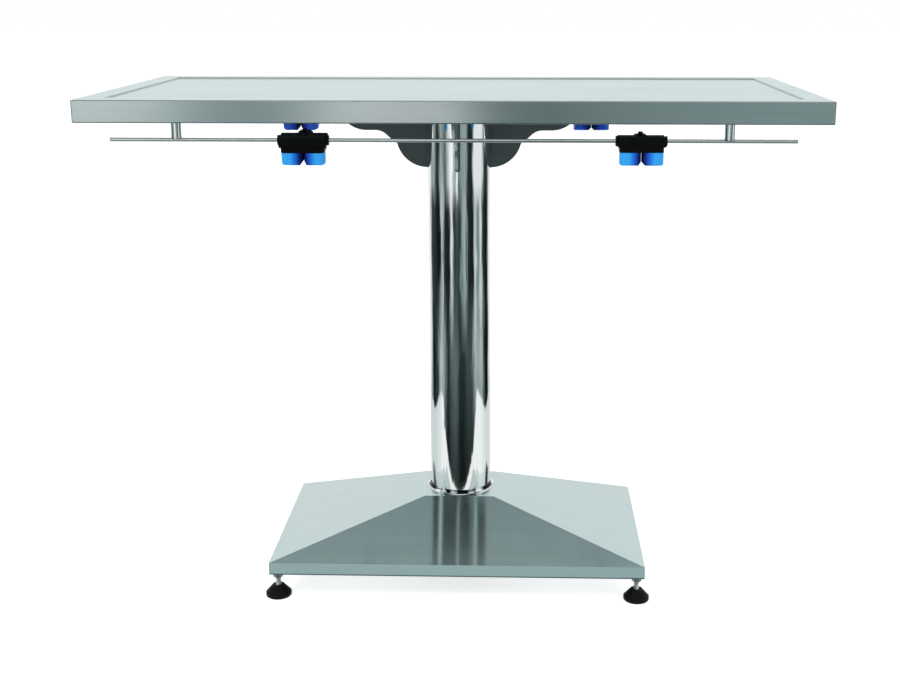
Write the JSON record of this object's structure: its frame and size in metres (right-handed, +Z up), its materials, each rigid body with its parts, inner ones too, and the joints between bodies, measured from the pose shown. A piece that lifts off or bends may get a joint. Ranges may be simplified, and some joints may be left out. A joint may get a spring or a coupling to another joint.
{
  "type": "veterinary examination table",
  "caption": "Stainless pedestal examination table with a sunken tray top, hollow pyramid base on levelling feet and side tie rails carrying sliding rope cam cleats.",
  "frame": {"origin": "on the floor, below the centre of the column", "axes": "+Z up, +X along the table, the front long side faces -Y"},
  "size_m": [1.2192, 0.5588, 0.9144],
  "materials": {
    "brushed_stainless": "brushed",
    "polished_stainless": "polished",
    "charcoal_paint": "satin",
    "zinc_steel": "satin",
    "foot_rubber": "matte",
    "cleat_black": "satin",
    "screw_black": "satin",
    "cam_blue": "gloss"
  },
  "bodies": {
    "table_frame": {"table_top": "brushed_stainless", "top_stiffeners": "charcoal_paint", "mount_plate": "charcoal_paint", "column_tube": "polished_stainless", "gusset_right": "charcoal_paint", "gusset_back": "charcoal_paint", "gusset_left": "charcoal_paint", "gusset_front": "charcoal_paint", "column_collar": "polished_stainless", "base_cover": "brushed_stainless", "base_frame": "charcoal_paint", "column_flange": "charcoal_paint", "frame_bolts": "zinc_steel", "foot_locknuts": "zinc_steel", "rail_front": "brushed_stainless", "rail_back": "brushed_stainless", "rail_post_front_left": "brushed_stainless", "rail_post_front_right": "brushed_stainless", "rail_post_back_left": "brushed_stainless", "rail_post_back_right": "brushed_stainless"},
    "foot_front_left": {"foot_pad_front_left": "foot_rubber"},
    "stud_front_left": {"foot_stud_front_left": "zinc_steel"},
    "foot_front_right": {"foot_pad_front_right": "foot_rubber"},
    "stud_front_right": {"foot_stud_front_right": "zinc_steel"},
    "foot_back_left": {"foot_pad_back_left": "foot_rubber"},
    "stud_back_left": {"foot_stud_back_left": "zinc_steel"},
    "foot_back_right": {"foot_pad_back_right": "foot_rubber"},
    "stud_back_right": {"foot_stud_back_right": "zinc_steel"},
    "slider_front_left": {"front_left_sleeve": "cleat_black"},
    "cleat_front_left": {"front_left_saddle": "cleat_black", "front_left_cleat_base": "cleat_black", "front_left_cam_screws": "zinc_steel", "front_left_cam_springs": "zinc_steel"},
    "lock_front_left": {"front_left_lock_screw": "screw_black"},
    "cam_left_front_left": {"front_left_cam_left": "cam_blue"},
    "cam_right_front_left": {"front_left_cam_right": "cam_blue"},
    "slider_front_right": {"front_right_sleeve": "cleat_black"},
    "cleat_front_right": {"front_right_saddle": "cleat_black", "front_right_cleat_base": "cleat_black", "front_right_cam_screws": "zinc_steel", "front_right_cam_springs": "zinc_steel"},
    "lock_front_right": {"front_right_lock_screw": "screw_black"},
    "cam_left_front_right": {"front_right_cam_left": "cam_blue"},
    "cam_right_front_right": {"front_right_cam_right": "cam_blue"},
    "slider_back_left": {"back_left_sleeve": "cleat_black"},
    "cleat_back_left": {"back_left_saddle": "cleat_black", "back_left_cleat_base": "cleat_black", "back_left_cam_screws": "zinc_steel", "back_left_cam_springs": "zinc_steel"},
    "lock_back_left": {"back_left_lock_screw": "screw_black"},
    "cam_left_back_left": {"back_left_cam_left": "cam_blue"},
    "cam_right_back_left": {"back_left_cam_right": "cam_blue"},
    "slider_back_right": {"back_right_sleeve": "cleat_black"},
    "cleat_back_right": {"back_right_saddle": "cleat_black", "back_right_cleat_base": "cleat_black", "back_right_cam_screws": "zinc_steel", "back_right_cam_springs": "zinc_steel"},
    "lock_back_right": {"back_right_lock_screw": "screw_black"},
    "cam_left_back_right": {"back_right_cam_left": "cam_blue"},
    "cam_right_back_right": {"back_right_cam_right": "cam_blue"}
  },
  "joints": [
    {"name": "level_front_left", "type": "slide", "parent": "table_frame", "child": "foot_front_left", "axis": [0, 0, 1], "range_m": [-0.01, 0.012]},
    {"name": "stud_turn_front_left", "type": "hinge", "parent": "foot_front_left", "child": "stud_front_left", "pos_m": [-0.3296, -0.175, 0.03], "axis": [0, 0, 1], "range_deg": [-2280, 2730]},
    {"name": "level_front_right", "type": "slide", "parent": "table_frame", "child": "foot_front_right", "axis": [0, 0, 1], "range_m": [-0.01, 0.012]},
    {"name": "stud_turn_front_right", "type": "hinge", "parent": "foot_front_right", "child": "stud_front_right", "pos_m": [0.3296, -0.175, 0.03], "axis": [0, 0, 1], "range_deg": [-2280, 2730]},
    {"name": "level_back_left", "type": "slide", "parent": "table_frame", "child": "foot_back_left", "axis": [0, 0, 1], "range_m": [-0.01, 0.012]},
    {"name": "stud_turn_back_left", "type": "hinge", "parent": "foot_back_left", "child": "stud_back_left", "pos_m": [-0.3296, 0.175, 0.03], "axis": [0, 0, 1], "range_deg": [-2280, 2730]},
    {"name": "level_back_right", "type": "slide", "parent": "table_frame", "child": "foot_back_right", "axis": [0, 0, 1], "range_m": [-0.01, 0.012]},
    {"name": "stud_turn_back_right", "type": "hinge", "parent": "foot_back_right", "child": "stud_back_right", "pos_m": [0.3296, 0.175, 0.03], "axis": [0, 0, 1], "range_deg": [-2280, 2730]},
    {"name": "slide_front_left", "type": "slide", "parent": "table_frame", "child": "slider_front_left", "axis": [1, 0, 0], "range_m": [-0.154, 0.23]},
    {"name": "swivel_front_left", "type": "hinge", "parent": "slider_front_left", "child": "cleat_front_left", "pos_m": [-0.241, -0.2527, 0.8483], "axis": [1, 0, 0], "range_deg": [-70, 50]},
    {"name": "lock_turn_front_left", "type": "hinge", "parent": "cleat_front_left", "child": "lock_front_left", "pos_m": [-0.241, -0.23491, 0.86261], "axis": [0, -0.1736, 0.9848], "range_deg": [0, 360]},
    {"name": "cam_left_turn_front_left", "type": "hinge", "parent": "cleat_front_left", "child": "cam_left_front_left", "pos_m": [-0.2604, -0.2527, 0.8483], "axis": [0, -0.1736, 0.9848], "range_deg": [-40, 0], "stiffness_Nm_per_rad": 0.05, "springref_deg": 20.05},
    {"name": "cam_right_turn_front_left", "type": "hinge", "parent": "cleat_front_left", "child": "cam_right_front_left", "pos_m": [-0.2216, -0.2527, 0.8483], "axis": [0, -0.1736, 0.9848], "range_deg": [0, 40], "stiffness_Nm_per_rad": 0.05, "springref_deg": -20.05},
    {"name": "slide_front_right", "type": "slide", "parent": "table_frame", "child": "slider_front_right", "axis": [1, 0, 0], "range_m": [-0.23, 0.089]},
    {"name": "swivel_front_right", "type": "hinge", "parent": "slider_front_right", "child": "cleat_front_right", "pos_m": [0.3065, -0.2527, 0.8483], "axis": [1, 0, 0], "range_deg": [-60, 60]},
    {"name": "lock_turn_front_right", "type": "hinge", "parent": "cleat_front_right", "child": "lock_front_right", "pos_m": [0.3065, -0.2327, 0.8593], "axis": [0, 0, 1], "range_deg": [0, 360]},
    {"name": "cam_left_turn_front_right", "type": "hinge", "parent": "cleat_front_right", "child": "cam_left_front_right", "pos_m": [0.2871, -0.2527, 0.8483], "axis": [0, 0, 1], "range_deg": [-40, 0], "stiffness_Nm_per_rad": 0.05, "springref_deg": 20.05},
    {"name": "cam_right_turn_front_right", "type": "hinge", "parent": "cleat_front_right", "child": "cam_right_front_right", "pos_m": [0.3259, -0.2527, 0.8483], "axis": [0, 0, 1], "range_deg": [0, 40], "stiffness_Nm_per_rad": 0.05, "springref_deg": -20.05},
    {"name": "slide_back_left", "type": "slide", "parent": "table_frame", "child": "slider_back_left", "axis": [1, 0, 0], "range_m": [-0.064, 0.249]},
    {"name": "swivel_back_left", "type": "hinge", "parent": "slider_back_left", "child": "cleat_back_left", "pos_m": [-0.3315, 0.2527, 0.8483], "axis": [1, 0, 0], "range_deg": [-72, 48]},
    {"name": "lock_turn_back_left", "type": "hinge", "parent": "cleat_back_left", "child": "lock_back_left", "pos_m": [-0.3315, 0.23085, 0.8549], "axis": [0, -0.2079, 0.9781], "range_deg": [0, 360]},
    {"name": "cam_left_turn_back_left", "type": "hinge", "parent": "cleat_back_left", "child": "cam_left_back_left", "pos_m": [-0.3121, 0.2527, 0.8483], "axis": [0, -0.2079, 0.9781], "range_deg": [-40, 0], "stiffness_Nm_per_rad": 0.05, "springref_deg": 20.05},
    {"name": "cam_right_turn_back_left", "type": "hinge", "parent": "cleat_back_left", "child": "cam_right_back_left", "pos_m": [-0.3509, 0.2527, 0.8483], "axis": [0, -0.2079, 0.9781], "range_deg": [0, 40], "stiffness_Nm_per_rad": 0.05, "springref_deg": -20.05},
    {"name": "slide_back_right", "type": "slide", "parent": "table_frame", "child": "slider_back_right", "axis": [1, 0, 0], "range_m": [-0.249, 0.143]},
    {"name": "swivel_back_right", "type": "hinge", "parent": "slider_back_right", "child": "cleat_back_right", "pos_m": [0.2527, 0.2527, 0.8483], "axis": [1, 0, 0], "range_deg": [-52, 68]},
    {"name": "lock_turn_back_right", "type": "hinge", "parent": "cleat_back_right", "child": "lock_back_right", "pos_m": [0.2527, 0.23443, 0.86198], "axis": [0, 0.1392, 0.9903], "range_deg": [0, 360]},
    {"name": "cam_left_turn_back_right", "type": "hinge", "parent": "cleat_back_right", "child": "cam_left_back_right", "pos_m": [0.2721, 0.2527, 0.8483], "axis": [0, 0.1392, 0.9903], "range_deg": [-40, 0], "stiffness_Nm_per_rad": 0.05, "springref_deg": 20.05},
    {"name": "cam_right_turn_back_right", "type": "hinge", "parent": "cleat_back_right", "child": "cam_right_back_right", "pos_m": [0.2333, 0.2527, 0.8483], "axis": [0, 0.1392, 0.9903], "range_deg": [0, 40], "stiffness_Nm_per_rad": 0.05, "springref_deg": -20.05}
  ],
  "couplings": [
    {"joint": "stud_turn_front_left", "follows": "level_front_left", "rad_per_m": 3957.9},
    {"joint": "stud_turn_front_right", "follows": "level_front_right", "rad_per_m": 3957.9},
    {"joint": "stud_turn_back_left", "follows": "level_back_left", "rad_per_m": 3957.9},
    {"joint": "stud_turn_back_right", "follows": "level_back_right", "rad_per_m": 3957.9}
  ]
}
